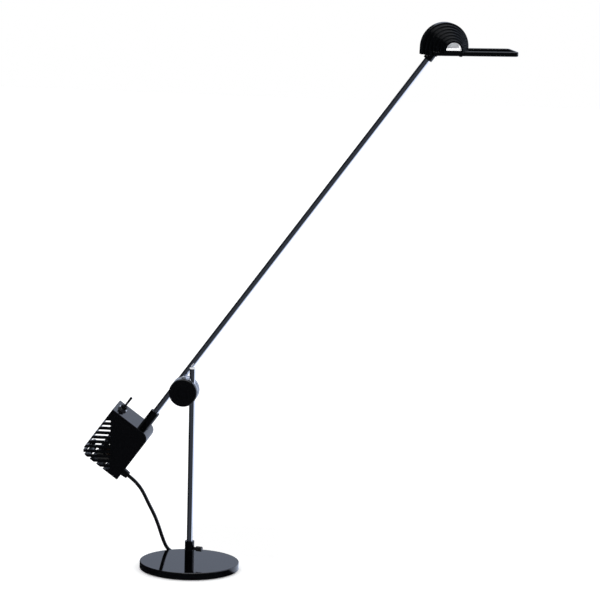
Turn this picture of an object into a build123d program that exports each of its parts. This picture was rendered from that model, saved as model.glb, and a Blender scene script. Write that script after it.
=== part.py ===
"""Counterweight balance desk lamp: a disc base, a stem, a balanced arm and a ribbed halogen head.

Millimetres. +Z is up, +X points to the lamp head and +Y away from the viewer.
The origin is the centre of the base's underside, on the stem's axis.
"""
from build123d import *
import os
from math import cos, pi, radians, sin, sqrt, tan

os.makedirs("parts", exist_ok=True)

# ---------------------------------------------------------------- fits
running_fit = 0.05        # radial clearance of a shaft that turns in a bore
slip_fit = 0.05           # radial clearance of a part that is pushed into a bore
face_gap = 0.1            # between flat faces that turn on each other
body_gap = 0.4            # between curved faces on different moving bodies
screw_play = 0.2          # radial clearance of a screw in its hole

# ---------------------------------------------------------------- base
base_radius = 84.0
base_thick = 12.0
base_edge = 1.2           # rounding of the disc's upper rim
pad_radius = 79.0
pad_thick = 1.5
pad_hole = 14.0           # radius left free round the base screw
base_top = pad_thick + base_thick

# ---------------------------------------------------------------- stem and its socket
stem_radius = 5.0
stem_bore = 3.6
stem_top = 347.5
cap_thick = 2.0
cap_spigot = 8.0
socket_radius = 8.0
socket_height = 35.0
socket_floor = 2.0        # metal left under the stem
spigot_radius = 5.0
spigot_length = 7.0
base_screw_radius = 3.0
base_screw_grip = 6.0     # thread length inside the socket
base_screw_head = 5.5
base_screw_head_thick = 4.0
thumb_height = 22.5       # above the base's top face
thumb_turn = -12.0        # direction of the thumb screw, from +X towards the viewer
thumb_shank = 2.0
thumb_neck = 2.8
thumb_neck_length = 4.0
thumb_head = 4.3
thumb_head_length = 10.0

# ---------------------------------------------------------------- pivot hub
pivot_x = -14.0
pivot_z = 306.0
hub_radius = 23.5
hub_thick = 13.0
hub_edge = 1.0
washer_radius = 20.0
washer_thick = 0.8
bolt_radius = 4.0
bolt_thread_in_knob = 6.5
knob_radius = 23.6
knob_thick = 9.0
knob_edge = 1.2
knob_recess = 8.5
knob_recess_deep = 1.6
insert_radius = 6.0
insert_length = 7.0
spring_radius = 10.0
spring_thick = 0.9
spring_rise = 0.5
nut_flats = 13.0
nut_thick = 6.5
cap_radius = 12.5
cap_wall = 1.6
cap_room = 1.2            # air above the lock nut inside the cap
hub_screw_radius = 2.5

# ---------------------------------------------------------------- arm
arm_angle = 54.2          # from the horizontal, in the pose shown
arm_offset = 16.8         # from the pivot to the arm's axis
arm_radius = 5.0
arm_bore = 3.8
arm_reach = 722.5         # from the pivot's foot on the arm to the head's tilt pin
collar_radius = 8.0
collar_length = 32.0
collar_spigot = 6.5
collar_nut_flats = 19.0
collar_nut_thick = 3.0
lead_radius = 3.2

# ---------------------------------------------------------------- transformer box
box_start = 94.0          # from the pivot's foot down to the box's end wall
box_above = 59.7          # from the arm's axis to the box's upper-left wall
box_width = 78.0
box_length = 93.0
box_depth = 76.0
box_wall = 2.5
box_round = 13.0          # the two rounded edges
box_edge = 0.7
slot_height = 3.2
slot_pitch = 8.02
slot_count = 11
slot_top = 253.2          # height of the first slot in the pose shown
slot_end = -134.3         # the slots stop at this upright line
boss_radius = 4.0
boss_depth = 12.0
boss_inset = 6.0          # from the outer wall to a boss's centre
boss_round = 7.0          # from a rounded corner's centre to its boss's centre
cover_screw_radius = 1.5
cover_screw_length = 9.0
cover_screw_head = 2.8
cover_screw_head_thick = 1.2

core_length = 66.0        # laminated core, along the arm
core_width = 47.0
core_stack = 50.0
core_window = 9.5
core_leg = 9.5
coil_swell = 8.5          # winding beyond the stack, on each side
bobbin_wall = 1.0
winding_gap = 0.4
strap_thick = 1.5
strap_foot = 7.0
strap_width = 14.0
strap_screw_radius = 1.5
strap_boss = 5.0
strap_shift = 13.0        # behind the arm's plane, clear of the gland's nut
core_from_wall = 11.5     # from the box's end wall to the core

switch_from_edge = 13.0
switch_radius = 5.8
switch_nut_flats = 15.0
switch_nut_thick = 2.4
switch_thread = 6.0
switch_proud = 5.0
switch_body = (20.0, 13.0, 17.0)
lever_radius = 2.2
lever_length = 14.0
lever_lean = 12.0
lever_pin = 0.8
lever_pin_reach = 3.4     # half the length of the lever's cross pin

gland_from_end = 8.5
gland_shift = -3.9        # towards the viewer from the arm's plane
gland_radius = 7.2
gland_length = 10.8
gland_thread = 4.6
gland_nut_flats = 11.8
gland_nut_thick = 4.0
terminal_length = 12.0    # along the arm
terminal_depth = 9.0
terminal_height = 22.0
terminal_t = 13.0         # from the arm's axis to its lower face
terminal_hole = 1.6

# ---------------------------------------------------------------- cord
cord_radius = 3.1
coil_turns = 3            # in each of the two layers
coil_inner = 27.0         # radius of the innermost turn's centreline
coil_pitch = 6.8
coil_centre = (44.0, 151.0)
plug_length = 36.0
plug_width = 30.0
plug_neck = 5.0
plug_round = 5.0
pin_radius = 2.4
pin_length = 19.0
pin_spacing = 19.0

# ---------------------------------------------------------------- head
fork_length = 26.0        # upper collar, from its lower end to the tilt pin
fork_slot = 7.0
fork_relief = 5.0         # the slot's depth below the tilt pin
fork_end = 8.0
tilt_pin_radius = 2.0
tongue_radius = 6.5
stud_lean = 1.8           # the swivel stud leans forward by this much
head_yaw = 25.0           # the head is turned this far away from the arm's plane
stud_radius = 4.0
shoulder_radius = 7.0
shoulder_low = 9.0
shoulder_high = 12.0
swivel_nut_flats = 12.0
swivel_nut_thick = 5.0
bridge_thick = 2.5
bridge_width = 12.0
bridge_inner = 14.0       # half of the clear width between its legs

hood_ahead = 12.2         # the hood's axis is this far ahead of the stud
hood_radius = 41.0
hood_nose = 17.0
hood_steps = 6
hood_half = 46.0
hood_middle = 5.5
hood_skirt = 12.4
hood_inner_steps = 2      # the steps that reach down between the frame's bars
hood_wall = 2.0
rib_round = 0.8
window_radius = 13.0
reflector_wall = 0.8
reflector_step = 2        # the inner step it rests against
reflector_low = 40.0      # its edges, from the horizontal

bar_spacing = 43.0
bar_width = 5.0
bar_height = 8.0
bar_round = 2.0
handle_end = 124.0        # from the hood's axis
handle_back = -26.0
handle_corner = 5.5
head_screw_radius = 1.6
head_screw_head = 3.0
head_screw_head_thick = 0.9
head_boss_radius = 3.4
head_boss_ahead = 22.0
head_boss_height = 17.4
head_boss_depth = 9.0
bulb_radius = 5.5
bulb_length = 22.0
bulb_wall = 0.9
lamp_block = 10.0         # thickness of the lamp holder, along the bulb
lamp_block_ahead = 14.0
lamp_block_high = 12.0
lamp_ahead = 25.0         # bulb axis, ahead of the stud
lamp_high = 6.0
lamp_pin_radius = 0.6
lamp_pin_length = 6.0


# ---------------------------------------------------------------- frames
arm_y = hub_thick / 2 + washer_thick + face_gap + hub_thick / 2
along = Vector(cos(radians(arm_angle)), 0, sin(radians(arm_angle)))
above = Vector(-sin(radians(arm_angle)), 0, cos(radians(arm_angle)))
back = Vector(0, 1, 0)
pivot = Vector(pivot_x, 0, pivot_z)
arm_foot = pivot + above * arm_offset + back * arm_y


def on_arm(s, t=0.0, y=0.0):
    """The point s along the arm from the pivot's foot, t above its axis and y behind it."""
    return arm_foot + along * s + above * t + back * y


def arm_section(s, t=0.0, y=0.0):
    """A plane square to the arm: its x runs to the back and its y is above the arm."""
    return Plane(origin=on_arm(s, t, y), x_dir=back, z_dir=along)


def arm_side(y=0.0, s=0.0, t=0.0):
    """The arm's own upright plane, facing the viewer: x along the arm, y above it."""
    return Plane(origin=on_arm(s, t, y), x_dir=along, z_dir=-back)


def arm_upper(s, t, y=0.0):
    """A plane that faces away from the arm's upper side: x along the arm, y to the back."""
    return Plane(origin=on_arm(s, t, y), x_dir=along, z_dir=above)


def hub_face(y):
    """An upright plane through the pivot's axis at depth y, facing the viewer."""
    return Plane(origin=(pivot_x, y, pivot_z), x_dir=(1, 0, 0), z_dir=(0, -1, 0))


def save(builder, name):
    """Label a finished piece and write it to its own file."""
    builder.part.label = name
    export_step(builder.part, f"parts/{name}.step")


# ================================================================ base
with BuildPart() as base_disc:
    with BuildSketch(Plane.XY.offset(pad_thick)):
        Circle(base_radius)
    extrude(amount=base_thick)
    rim = base_disc.edges().filter_by(GeomType.CIRCLE).group_by(Axis.Z)
    fillet(rim[-1], base_edge)
    chamfer(base_disc.edges().filter_by(GeomType.CIRCLE).group_by(Axis.Z)[0], base_edge / 2)
    with BuildSketch(Plane.XY.offset(base_top)):
        Circle(spigot_radius + slip_fit)
    extrude(amount=-spigot_length - slip_fit, mode=Mode.SUBTRACT)
    with BuildSketch(Plane.XY.offset(pad_thick)):
        Circle(base_screw_radius + screw_play)
    extrude(amount=base_thick, mode=Mode.SUBTRACT)
    with BuildSketch(Plane.XY.offset(pad_thick)):
        Circle(base_screw_head + screw_play)
    extrude(amount=base_screw_head_thick, mode=Mode.SUBTRACT)
save(base_disc, "base_disc")

with BuildPart() as base_pad:
    with BuildSketch():
        Circle(pad_radius)
        Circle(pad_hole, mode=Mode.SUBTRACT)
    extrude(amount=pad_thick)
save(base_pad, "base_pad")

thumb_dir = Vector(cos(radians(thumb_turn)), sin(radians(thumb_turn)), 0)
thumb_z = base_top + thumb_height


def thumb_plane(distance):
    """A plane square to the thumb screw, at a distance from the stem's axis."""
    return Plane(origin=Vector(0, 0, thumb_z) + thumb_dir * distance, x_dir=(0, 0, 1), z_dir=thumb_dir)


with BuildPart() as stem_socket:
    with BuildSketch(Plane.XY.offset(base_top)):
        Circle(socket_radius)
    extrude(amount=socket_height)
    with BuildSketch(Plane.XY.offset(base_top - spigot_length)):
        Circle(spigot_radius)
    extrude(amount=spigot_length)
    with BuildSketch(Plane.XY.offset(base_top + socket_floor)):
        Circle(stem_radius + running_fit)
    extrude(amount=socket_height, mode=Mode.SUBTRACT)
    with BuildSketch(Plane.XY.offset(base_top - spigot_length)):
        Circle(base_screw_radius + slip_fit)
    extrude(amount=base_screw_grip + slip_fit, mode=Mode.SUBTRACT)
    with BuildSketch(thumb_plane(0)):
        Circle(thumb_shank + running_fit)
    extrude(amount=socket_radius * 2, mode=Mode.SUBTRACT)
save(stem_socket, "stem_socket")

screw_low = pad_thick + screw_play
with BuildPart() as base_screw:
    with BuildSketch(Plane.XY.offset(screw_low)):
        Circle(base_screw_head)
        RegularPolygon(base_screw_radius, 6, mode=Mode.SUBTRACT)
    extrude(amount=base_screw_head_thick / 2)
    with BuildSketch(Plane.XY.offset(screw_low + base_screw_head_thick / 2)):
        Circle(base_screw_head)
    extrude(amount=base_screw_head_thick / 2 - screw_play)
    with BuildSketch(Plane.XY.offset(pad_thick + base_screw_head_thick)):
        Circle(base_screw_radius)
    extrude(amount=base_thick - spigot_length - base_screw_head_thick + base_screw_grip)
save(base_screw, "base_screw")

thumb_start = stem_radius + body_gap
with BuildPart() as thumb_screw:
    with BuildSketch(thumb_plane(thumb_start)):
        Circle(thumb_shank)
    extrude(amount=socket_radius + body_gap + thumb_neck_length - thumb_start)
    with BuildSketch(thumb_plane(socket_radius + body_gap)):
        Circle(thumb_neck)
    extrude(amount=thumb_neck_length)
    with BuildSketch(thumb_plane(socket_radius + body_gap + thumb_neck_length)):
        Circle(thumb_head)
        with PolarLocations(thumb_head, 20):
            RegularPolygon(thumb_head / 14, 4, mode=Mode.SUBTRACT)
    extrude(amount=thumb_head_length)
save(thumb_screw, "thumb_screw")

# ================================================================ stem
stem_low = base_top + socket_floor + body_gap
with BuildPart() as stem:
    with BuildSketch(Plane.XY.offset(stem_low)):
        Circle(stem_radius)
        Circle(stem_bore, mode=Mode.SUBTRACT)
    extrude(amount=stem_top - cap_thick - stem_low)
save(stem, "stem")

with BuildPart() as stem_cap:
    with BuildSketch(Plane.XY.offset(stem_top - cap_thick)):
        Circle(stem_radius)
    extrude(amount=cap_thick)
    fillet(stem_cap.edges().group_by(Axis.Z)[-1], cap_thick / 2)
    with BuildSketch(Plane.XY.offset(stem_top - cap_thick)):
        Circle(stem_bore - slip_fit)
    extrude(amount=-cap_spigot)
save(stem_cap, "stem_cap")

# ================================================================ pivot hub
hub_front = -hub_thick / 2
washer_rear = hub_thick / 2 + washer_thick
arm_hub_front = washer_rear + face_gap
arm_hub_rear = arm_hub_front + hub_thick

with BuildPart() as stem_clamp:
    with BuildSketch(hub_face(hub_thick / 2)):
        Circle(hub_radius)
    extrude(amount=hub_thick)
    chamfer(stem_clamp.edges().filter_by(GeomType.CIRCLE), hub_edge)
    with BuildSketch(hub_face(hub_thick / 2)):
        Circle(bolt_radius + slip_fit)
    extrude(amount=hub_thick, mode=Mode.SUBTRACT)
    with BuildSketch(Plane.XY.offset(pivot_z - hub_radius)):
        Circle(stem_radius + slip_fit)
    extrude(amount=hub_radius * 2, mode=Mode.SUBTRACT)
    with BuildSketch(Plane(origin=(0, 0, pivot_z), x_dir=(0, 0, 1), z_dir=(1, 0, 0))):
        Circle(hub_screw_radius + slip_fit)
    extrude(amount=hub_radius, mode=Mode.SUBTRACT)
save(stem_clamp, "stem_clamp")

with BuildPart() as clamp_screw:
    with BuildSketch(Plane(origin=(stem_radius + slip_fit, 0, pivot_z), x_dir=(0, 0, 1), z_dir=(1, 0, 0))):
        Circle(hub_screw_radius)
    extrude(amount=pivot_x + hub_radius - stem_radius - hub_edge)
    with BuildSketch(clamp_screw.faces().sort_by(Axis.X)[-1]):
        RegularPolygon(hub_screw_radius / 2, 6)
    extrude(amount=-hub_screw_radius / 2, mode=Mode.SUBTRACT)
save(clamp_screw, "clamp_screw")

with BuildPart() as friction_washer:
    with BuildSketch(hub_face(washer_rear)):
        Circle(washer_radius)
        Circle(bolt_radius + running_fit, mode=Mode.SUBTRACT)
    extrude(amount=washer_thick)
save(friction_washer, "friction_washer")

with BuildPart() as arm_clamp:
    with BuildSketch(hub_face(arm_hub_rear)):
        Circle(hub_radius)
        Circle(bolt_radius + running_fit, mode=Mode.SUBTRACT)
    extrude(amount=hub_thick)
    outer_rims = arm_clamp.edges().filter_by(GeomType.CIRCLE).group_by(SortBy.RADIUS)[-1]
    chamfer(outer_rims, hub_edge)
    with BuildSketch(arm_section(-hub_radius)):
        Circle(arm_radius + slip_fit)
    extrude(amount=hub_radius * 2, mode=Mode.SUBTRACT)
save(arm_clamp, "arm_clamp")

spring_front = arm_hub_rear + face_gap
spring_step = spring_thick + spring_rise
nut_front = spring_front + 2 * spring_step + face_gap
bolt_rear = nut_front + nut_thick
bolt_front = hub_front - face_gap - bolt_thread_in_knob

with BuildPart() as pivot_bolt:
    with BuildSketch(hub_face(bolt_rear)):
        Circle(bolt_radius)
    extrude(amount=bolt_rear - bolt_front)
    chamfer(pivot_bolt.edges().filter_by(GeomType.CIRCLE), base_edge / 2)
save(pivot_bolt, "pivot_bolt")

with BuildPart() as disc_springs:
    for flip in (False, True):
        low = spring_front + (spring_step if flip else 0)
        inner_shift = 0 if flip else spring_rise
        outer_shift = spring_rise if flip else 0
        bore = bolt_radius + screw_play
        with BuildSketch(Plane(origin=(pivot_x, 0, pivot_z), x_dir=(1, 0, 0), z_dir=(0, 0, 1))):
            with BuildLine():
                Polyline(
                    (bore, low + inner_shift),
                    (spring_radius, low + outer_shift),
                    (spring_radius, low + outer_shift + spring_thick - running_fit),
                    (bore, low + inner_shift + spring_thick - running_fit),
                    close=True,
                )
            make_face()
        revolve(axis=Axis((pivot_x, 0, pivot_z), (0, 1, 0)))
save(disc_springs, "disc_springs")

with BuildPart() as lock_nut:
    with BuildSketch(hub_face(bolt_rear)):
        RegularPolygon(nut_flats / 2, 6, major_radius=False)
        Circle(bolt_radius + slip_fit, mode=Mode.SUBTRACT)
    extrude(amount=nut_thick)
save(lock_nut, "lock_nut")

cap_rear = bolt_rear + cap_room + cap_wall
with BuildPart() as pivot_cap:
    with BuildSketch(hub_face(cap_rear)):
        Circle(cap_radius)
    extrude(amount=cap_rear - arm_hub_rear)
    fillet(pivot_cap.edges().group_by(Axis.Y)[-1], cap_wall)
    with BuildSketch(hub_face(cap_rear - cap_wall)):
        Circle(cap_radius - cap_wall)
    extrude(amount=cap_rear - cap_wall - arm_hub_rear, mode=Mode.SUBTRACT)
save(pivot_cap, "pivot_cap")

knob_rear = hub_front - face_gap
knob_front = knob_rear - knob_thick
with BuildPart() as tension_knob:
    with BuildSketch(hub_face(knob_rear)):
        Circle(knob_radius)
    extrude(amount=knob_thick)
    chamfer(tension_knob.edges().group_by(Axis.Y)[0], knob_edge)
    with BuildSketch(hub_face(knob_front)):
        Circle(knob_recess)
    extrude(amount=-knob_recess_deep, mode=Mode.SUBTRACT)
    with BuildSketch(hub_face(knob_rear)):
        Circle(insert_radius + slip_fit)
    extrude(amount=knob_thick - knob_recess_deep - slip_fit, mode=Mode.SUBTRACT)
save(tension_knob, "tension_knob")

with BuildPart() as knob_insert:
    with BuildSketch(hub_face(knob_rear)):
        Circle(insert_radius)
        Circle(bolt_radius + running_fit, mode=Mode.SUBTRACT)
    extrude(amount=insert_length)
save(knob_insert, "knob_insert")

with BuildPart() as knob_cap:
    with BuildSketch(hub_face(knob_front + knob_recess_deep)):
        Circle(knob_recess - slip_fit)
    extrude(amount=knob_recess_deep / 2)
    fillet(knob_cap.edges().group_by(Axis.Y)[0], knob_recess_deep / 4)
save(knob_cap, "knob_cap")

# ================================================================ arm
arm_low = -box_start - box_wall - collar_nut_thick
collar_top = arm_reach - fork_length
with BuildPart() as arm_tube:
    with BuildSketch(arm_section(arm_low)):
        Circle(arm_radius)
        Circle(arm_bore, mode=Mode.SUBTRACT)
    extrude(amount=arm_reach - fork_end - fork_length / 4 - arm_low)
save(arm_tube, "arm_tube")

with BuildPart() as arm_lead:
    with BuildSketch(arm_section(arm_low)):
        Circle(lead_radius)
    extrude(amount=arm_reach - fork_end - fork_length / 4 - arm_low)
save(arm_lead, "arm_lead")

with BuildPart() as lower_collar:
    with BuildSketch(arm_section(-box_start)):
        Circle(collar_radius)
    extrude(amount=collar_length)
    with BuildSketch(arm_section(-box_start)):
        Circle(collar_spigot)
    extrude(amount=-box_wall - collar_nut_thick)
    with BuildSketch(arm_section(-box_start - box_wall - collar_nut_thick)):
        Circle(arm_radius + slip_fit)
    extrude(amount=box_wall + collar_nut_thick + collar_length, mode=Mode.SUBTRACT)
save(lower_collar, "lower_collar")

with BuildPart() as collar_nut:
    with BuildSketch(arm_section(-box_start - box_wall)):
        RegularPolygon(collar_nut_flats / 2, 6, major_radius=False)
        Circle(collar_spigot + slip_fit, mode=Mode.SUBTRACT)
    extrude(amount=-collar_nut_thick)
save(collar_nut, "collar_nut")

# ================================================================ transformer box
box_low = box_above - box_width
box_far = -box_start - box_length


def box_outline(inset):
    """The box's outline in the arm's plane, drawn inset from the outer wall."""
    with BuildLine() as outline:
        upper_start = (-box_start - inset, box_above - inset)
        lower_start = (-box_start - inset, box_low + inset)
        lower_end = (box_far + inset, box_low + inset)
        upper_end = (box_far + inset, box_above - inset)
        corner = box_round - inset
        FilletPolyline(
            upper_start, lower_start, lower_end, upper_end,
            radius=[0, corner, 0, corner], close=True,
        )
    return outline


def box_corners():
    """The four cover screws, as (s, t) places inside the box's corners."""
    diagonal = boss_round / sqrt(2)
    return [
        (-box_start - boss_inset, box_above - boss_inset),
        (-box_start - box_round + diagonal, box_low + box_round - diagonal),
        (box_far + boss_inset, box_low + boss_inset),
        (box_far + box_round - diagonal, box_above - box_round + diagonal),
    ]


slot_heights = [slot_top - slot_pitch * k for k in range(slot_count)]
box_reach = box_length + box_width
switch_t = box_above - switch_from_edge
gland_s = box_far + gland_from_end
core_s = -box_start - box_wall - core_from_wall - core_length / 2
core_t = box_low + box_wall + strap_boss + strap_thick + core_width / 2
strap_foot_s = core_length / 2 + strap_thick + strap_foot / 2
cover_y = box_depth / 2 - box_wall


# level slots through every wall that lies left of the slots' end line
with BuildPart() as slot_cutters:
    for height in slot_heights:
        with BuildSketch(Plane(origin=(slot_end, 0, height), x_dir=(1, 0, 0), z_dir=(0, 0, 1))):
            Rectangle(box_reach, box_reach, align=(Align.MAX, Align.CENTER))
        extrude(amount=slot_height / 2, both=True)

with BuildPart() as box_shell:
    with BuildSketch(arm_side(-box_depth / 2 + box_wall)):
        add(box_outline(0))
        make_face()
    extrude(amount=box_wall)
    fillet(box_shell.faces().sort_by(Axis.Y)[0].outer_wire().edges(), box_edge)
    with BuildSketch(arm_side(cover_y)):
        add(box_outline(0))
        make_face()
        with BuildSketch(mode=Mode.PRIVATE) as hollow:
            add(box_outline(box_wall))
            make_face()
        add(hollow.sketch, mode=Mode.SUBTRACT)
    extrude(amount=box_depth - 2 * box_wall)
    with BuildSketch(arm_section(-box_start)):
        Circle(collar_spigot + slip_fit)
    extrude(amount=-box_wall, mode=Mode.SUBTRACT)
    with BuildSketch(arm_section(-box_start - box_wall)):
        Circle(collar_nut_flats / sqrt(3) + screw_play)
    extrude(amount=-collar_nut_thick, mode=Mode.SUBTRACT)
    with BuildSketch(arm_section(-box_start, switch_t)):
        Circle(switch_radius + slip_fit)
    extrude(amount=-box_wall, mode=Mode.SUBTRACT)
    with BuildSketch(arm_upper(gland_s, box_low, gland_shift)):
        Circle(gland_thread + slip_fit)
    extrude(amount=box_wall, mode=Mode.SUBTRACT)
    for side in (-1, 1):
        with BuildSketch(arm_upper(core_s + side * strap_foot_s, box_low + box_wall, strap_shift)):
            Circle(boss_radius)
        extrude(amount=strap_boss)
        with BuildSketch(arm_upper(core_s + side * strap_foot_s, box_low + box_wall, strap_shift)):
            Circle(strap_screw_radius + slip_fit)
        extrude(amount=strap_boss, mode=Mode.SUBTRACT)
    add(slot_cutters.part, mode=Mode.SUBTRACT)
    with BuildSketch(arm_side(cover_y)):
        with Locations(box_corners()):
            Circle(boss_radius)
    extrude(amount=boss_depth)
    with BuildSketch(arm_side(cover_y)):
        with Locations(box_corners()):
            Circle(cover_screw_radius + slip_fit)
    extrude(amount=cover_screw_length, mode=Mode.SUBTRACT)
save(box_shell, "box_shell")

with BuildPart() as box_cover:
    with BuildSketch(arm_side(box_depth / 2)):
        add(box_outline(0))
        make_face()
    extrude(amount=box_wall)
    fillet(box_cover.faces().sort_by(Axis.Y)[-1].outer_wire().edges(), box_edge)
    add(slot_cutters.part, mode=Mode.SUBTRACT)
    with BuildSketch(arm_side(box_depth / 2)):
        with Locations(box_corners()):
            Circle(boss_radius)
    extrude(amount=box_wall)
    with BuildSketch(arm_side(box_depth / 2)):
        with Locations(box_corners()):
            Circle(cover_screw_radius + screw_play)
    extrude(amount=box_wall, mode=Mode.SUBTRACT)
save(box_cover, "box_cover")

with BuildPart() as cover_screws:
    with BuildSketch(arm_side(box_depth / 2)):
        with Locations(box_corners()):
            Circle(cover_screw_radius)
    extrude(amount=box_wall + cover_screw_length - screw_play)
    with BuildSketch(arm_side(box_depth / 2)):
        with Locations(box_corners()):
            Circle(cover_screw_head)
    extrude(amount=-cover_screw_head_thick)
save(cover_screws, "cover_screws")

# ---------------------------------------------------------------- what the box holds
core_y = core_stack / 2
leg_centre = core_width - 2 * core_leg - 2 * core_window
with BuildPart() as transformer_core:
    with BuildSketch(arm_side(core_y, core_s, core_t)):
        Rectangle(core_length, core_width)
        for side in (-1, 1):
            with Locations((0, side * (leg_centre + core_window) / 2)):
                Rectangle(core_length - 2 * core_leg, core_window, mode=Mode.SUBTRACT)
    extrude(amount=core_stack)
save(transformer_core, "transformer_core")

bobbin_length = core_length - 2 * core_leg - 2 * winding_gap
bobbin_in = leg_centre / 2 + winding_gap
bobbin_out = leg_centre / 2 + core_window - winding_gap
with BuildPart() as transformer_bobbin:
    with BuildSketch(arm_section(core_s - bobbin_length / 2, core_t)):
        Rectangle(core_stack + 2 * (winding_gap + bobbin_wall), 2 * (bobbin_in + bobbin_wall))
        Rectangle(core_stack + 2 * winding_gap, 2 * bobbin_in, mode=Mode.SUBTRACT)
    extrude(amount=bobbin_length)
    for start in (core_s - bobbin_length / 2, core_s + bobbin_length / 2 - bobbin_wall):
        with BuildSketch(arm_section(start, core_t)):
            Rectangle(core_stack + 2 * coil_swell, 2 * bobbin_out)
            Rectangle(core_stack + 2 * winding_gap, 2 * bobbin_in, mode=Mode.SUBTRACT)
        extrude(amount=bobbin_wall)
save(transformer_bobbin, "transformer_bobbin")

with BuildPart() as transformer_winding:
    with BuildSketch(arm_section(core_s - bobbin_length / 2 + bobbin_wall, core_t)):
        RectangleRounded(
            core_stack + 2 * coil_swell - 2 * bobbin_wall,
            2 * bobbin_out - 2 * winding_gap,
            bobbin_wall * 3,
        )
        Rectangle(
            core_stack + 2 * (winding_gap + bobbin_wall),
            2 * (bobbin_in + bobbin_wall),
            mode=Mode.SUBTRACT,
        )
    extrude(amount=bobbin_length - 2 * bobbin_wall)
save(transformer_winding, "transformer_winding")

strap_outer_s = core_length / 2 + strap_thick
strap_outer_t = core_width / 2 + strap_thick
with BuildPart() as transformer_strap:
    with BuildSketch(arm_side(strap_shift + strap_width / 2, core_s, core_t)):
        with Locations((0, strap_thick / 2)):
            Rectangle(2 * strap_outer_s, 2 * strap_outer_t - strap_thick)
            Rectangle(core_length, core_width + strap_thick, mode=Mode.SUBTRACT)
        with Locations((0, -core_width / 2 - strap_thick / 2)):
            Rectangle(2 * (strap_outer_s + strap_foot), strap_thick)
    extrude(amount=strap_width)
    with Locations(arm_upper(core_s, core_t + core_width / 2 + strap_thick / 2, strap_shift)):
        Box(core_length, strap_width, strap_thick)
    for side in (-1, 1):
        with BuildSketch(arm_upper(core_s + side * strap_foot_s, box_low + box_wall, strap_shift)):
            Circle(strap_screw_radius + screw_play)
        extrude(amount=strap_boss + strap_thick, mode=Mode.SUBTRACT)
save(transformer_strap, "transformer_strap")

strap_top = box_low + box_wall + strap_boss + strap_thick
with BuildPart() as strap_screws:
    for side in (-1, 1):
        with BuildSketch(arm_upper(core_s + side * strap_foot_s, strap_top, strap_shift)):
            Circle(strap_screw_radius)
        extrude(amount=-strap_thick - strap_boss + screw_play)
        with BuildSketch(arm_upper(core_s + side * strap_foot_s, strap_top, strap_shift)):
            Circle(strap_screw_radius * 2)
        extrude(amount=strap_screw_radius)
save(strap_screws, "strap_screws")

terminal_s = box_far + box_wall + terminal_length
terminal_y = -box_depth / 2 + box_wall + terminal_depth / 2
with BuildPart() as terminal_block:
    with BuildSketch(arm_upper(terminal_s, terminal_t, terminal_y)):
        Rectangle(terminal_length, terminal_depth)
    extrude(amount=terminal_height)
    with BuildSketch(arm_upper(terminal_s, terminal_t + terminal_height, terminal_y)):
        with GridLocations(terminal_length / 2, terminal_depth / 2, 2, 2):
            Circle(terminal_hole)
    extrude(amount=-terminal_height / 3, mode=Mode.SUBTRACT)
save(terminal_block, "terminal_block")

# ---------------------------------------------------------------- switch
with BuildPart() as switch_housing:
    with BuildSketch(arm_section(-box_start - box_wall, switch_t)):
        Rectangle(switch_body[0], switch_body[1])
    extrude(amount=-switch_body[2])
    with BuildSketch(arm_section(-box_start - box_wall, switch_t)):
        Circle(switch_radius)
    extrude(amount=box_wall + switch_nut_thick + switch_proud)
    with BuildSketch(arm_section(-box_start + switch_nut_thick + switch_proud, switch_t)):
        Circle(switch_radius - 1.2)
    extrude(amount=-switch_thread, mode=Mode.SUBTRACT)
save(switch_housing, "switch_housing")

with BuildPart() as switch_nut:
    with BuildSketch(arm_section(-box_start, switch_t)):
        RegularPolygon(switch_nut_flats / 2, 6, major_radius=False)
        Circle(switch_radius + slip_fit, mode=Mode.SUBTRACT)
    extrude(amount=switch_nut_thick)
    chamfer(switch_nut.faces().sort_by(Axis.Z)[-1].outer_wire().edges(), slip_fit * 6)
save(switch_nut, "switch_nut")

lever_foot_s = -box_start + switch_nut_thick + switch_proud - switch_thread + lever_radius + body_gap
lever_foot = on_arm(lever_foot_s, switch_t)
lever_dir = along.rotate(Axis((0, 0, 0), above), lever_lean)
with BuildPart() as switch_lever:
    with BuildSketch(Plane(origin=lever_foot, x_dir=above, z_dir=lever_dir)):
        Circle(lever_radius * 0.75)
    extrude(amount=switch_thread + lever_length, taper=-1.2)
    with Locations(lever_foot, lever_foot + lever_dir * (switch_thread + lever_length)):
        Sphere(lever_radius)
    with BuildSketch(Plane(origin=lever_foot, x_dir=back, z_dir=above)):
        Circle(lever_pin)
    extrude(amount=lever_pin_reach, both=True)
save(switch_lever, "switch_lever")

# ---------------------------------------------------------------- cord gland
cord_bore = cord_radius + slip_fit
with BuildPart() as cord_gland:
    with BuildSketch(arm_upper(gland_s, box_low, gland_shift)):
        Circle(gland_radius)
    extrude(amount=-gland_length, taper=6)
    with BuildSketch(arm_upper(gland_s, box_low, gland_shift)):
        Circle(gland_thread)
    extrude(amount=box_wall + gland_nut_thick)
    with BuildSketch(arm_upper(gland_s, box_low + box_wall + gland_nut_thick, gland_shift)):
        Circle(cord_bore)
    extrude(amount=-gland_nut_thick, mode=Mode.SUBTRACT)
save(cord_gland, "cord_gland")

with BuildPart() as gland_nut:
    with BuildSketch(arm_upper(gland_s, box_low + box_wall, gland_shift)):
        RegularPolygon(gland_nut_flats / 2, 6, major_radius=False, rotation=30)
        Circle(gland_thread + slip_fit, mode=Mode.SUBTRACT)
    extrude(amount=gland_nut_thick)
save(gland_nut, "gland_nut")

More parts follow.
